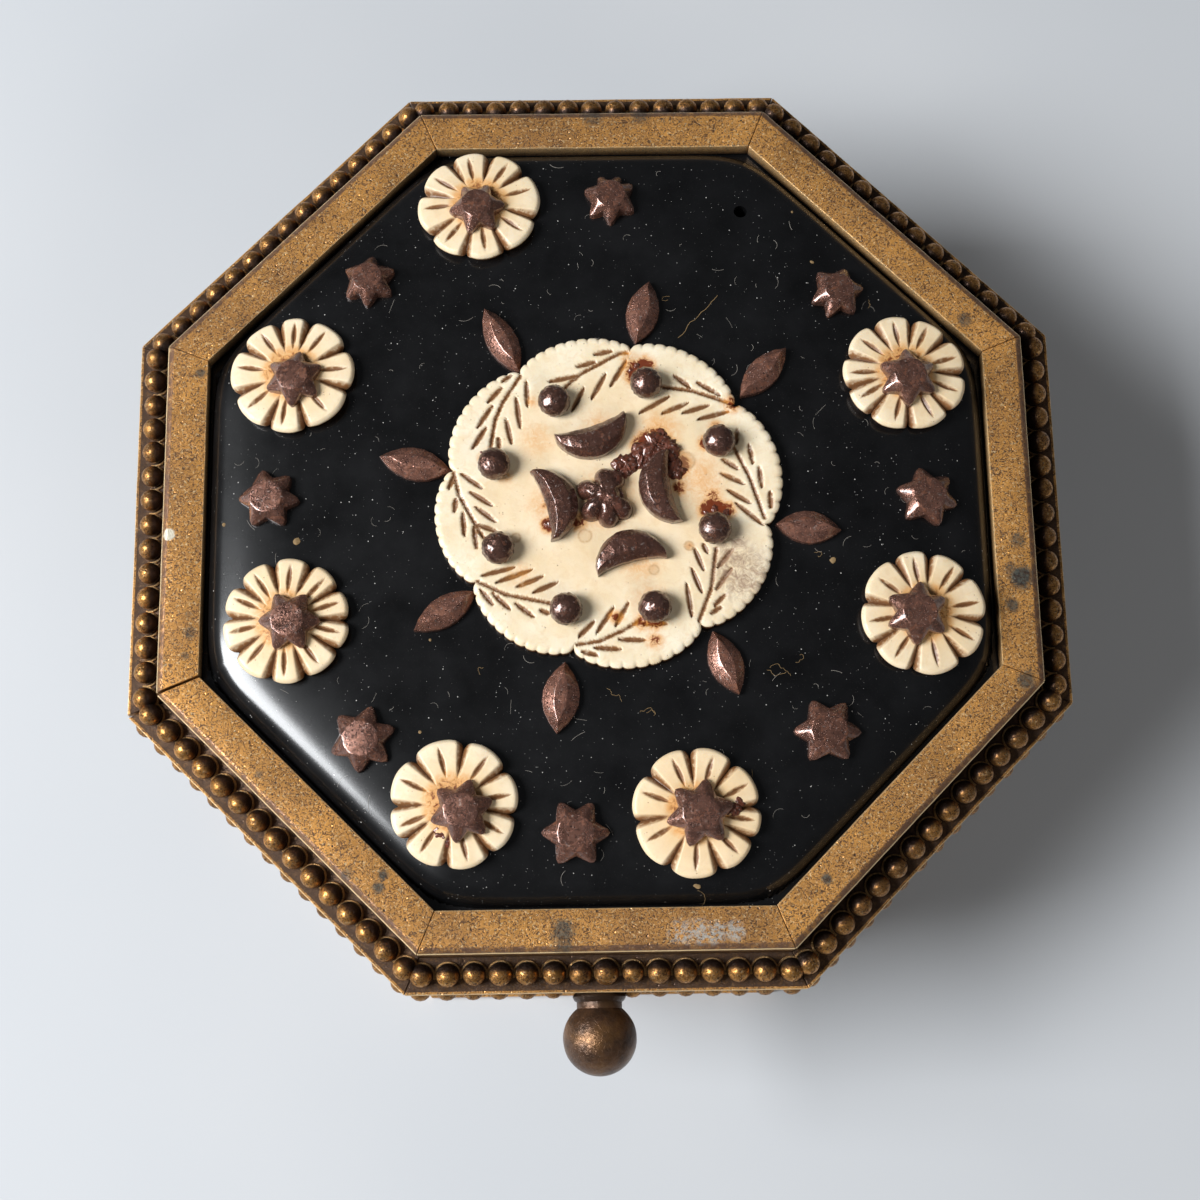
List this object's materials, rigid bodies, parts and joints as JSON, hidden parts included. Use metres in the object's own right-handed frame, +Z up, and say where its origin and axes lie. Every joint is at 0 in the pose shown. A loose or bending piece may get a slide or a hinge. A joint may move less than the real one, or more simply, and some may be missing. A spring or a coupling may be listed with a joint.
{
  "type": "octagonal box with lid",
  "caption": "Small hollow octagonal box with a lift-off lid: beaded gilt moulding, domed black plaque with applied carved flowers, studs and a medallion, and a thumb ball.",
  "frame": {"origin": "middle of the underside", "axes": "+Z up through the lid; the thumb ball stands out at the front, towards -Y"},
  "size_m": [0.095, 0.1024, 0.044],
  "materials": {
    "polished_shell_base": "polished black shell or lacquer sheet",
    "polished_shell_plaque": "polished black domed plaque with dust and fine scratches",
    "gilt_brass_base": "worn gilt, brown in the hollows",
    "gilt_brass_lid": "worn gilt with dark specks and corrosion spots",
    "gilt_brass_ball": "rubbed brown, scratched",
    "carved_ivory": "cream carved slices, brown in the grooves",
    "rusted_cut_steel": "faceted cut steel, dark with rust"
  },
  "bodies": {
    "root": {"base_body": "polished_shell_base", "base_mouth_rim": "gilt_brass_base", "foot_moulding": "gilt_brass_base", "lid_bar_front": "gilt_brass_lid", "lid_bar_front_right": "gilt_brass_lid", "lid_bar_right": "gilt_brass_lid", "lid_bar_back_right": "gilt_brass_lid", "lid_bar_back": "gilt_brass_lid", "lid_bar_back_left": "gilt_brass_lid", "lid_bar_left": "gilt_brass_lid", "lid_bar_front_left": "gilt_brass_lid", "thumb_ball": "gilt_brass_ball", "lid_plaque": "polished_shell_plaque", "flower_1": "carved_ivory", "flower_2": "carved_ivory", "flower_3": "carved_ivory", "flower_4": "carved_ivory", "flower_5": "carved_ivory", "flower_6": "carved_ivory", "flower_7": "carved_ivory", "flower_star_1": "rusted_cut_steel", "flower_star_2": "rusted_cut_steel", "flower_star_3": "rusted_cut_steel", "flower_star_4": "rusted_cut_steel", "flower_star_5": "rusted_cut_steel", "flower_star_6": "rusted_cut_steel", "flower_star_7": "rusted_cut_steel", "field_star_1": "rusted_cut_steel", "field_star_2": "rusted_cut_steel", "field_star_3": "rusted_cut_steel", "field_star_4": "rusted_cut_steel", "field_star_5": "rusted_cut_steel", "field_star_6": "rusted_cut_steel", "field_star_7": "rusted_cut_steel", "field_star_8": "rusted_cut_steel", "leaf_1": "rusted_cut_steel", "leaf_2": "rusted_cut_steel", "leaf_3": "rusted_cut_steel", "leaf_4": "rusted_cut_steel", "leaf_5": "rusted_cut_steel", "leaf_6": "rusted_cut_steel", "leaf_7": "rusted_cut_steel", "leaf_8": "rusted_cut_steel", "medallion": "carved_ivory", "ball_stud_1": "rusted_cut_steel", "ball_stud_2": "rusted_cut_steel", "ball_stud_3": "rusted_cut_steel", "ball_stud_4": "rusted_cut_steel", "ball_stud_5": "rusted_cut_steel", "ball_stud_6": "rusted_cut_steel", "ball_stud_7": "rusted_cut_steel", "ball_stud_8": "rusted_cut_steel", "crescent_1": "rusted_cut_steel", "crescent_2": "rusted_cut_steel", "crescent_3": "rusted_cut_steel", "crescent_4": "rusted_cut_steel", "centre_star": "rusted_cut_steel"}
  },
  "joints": []
}
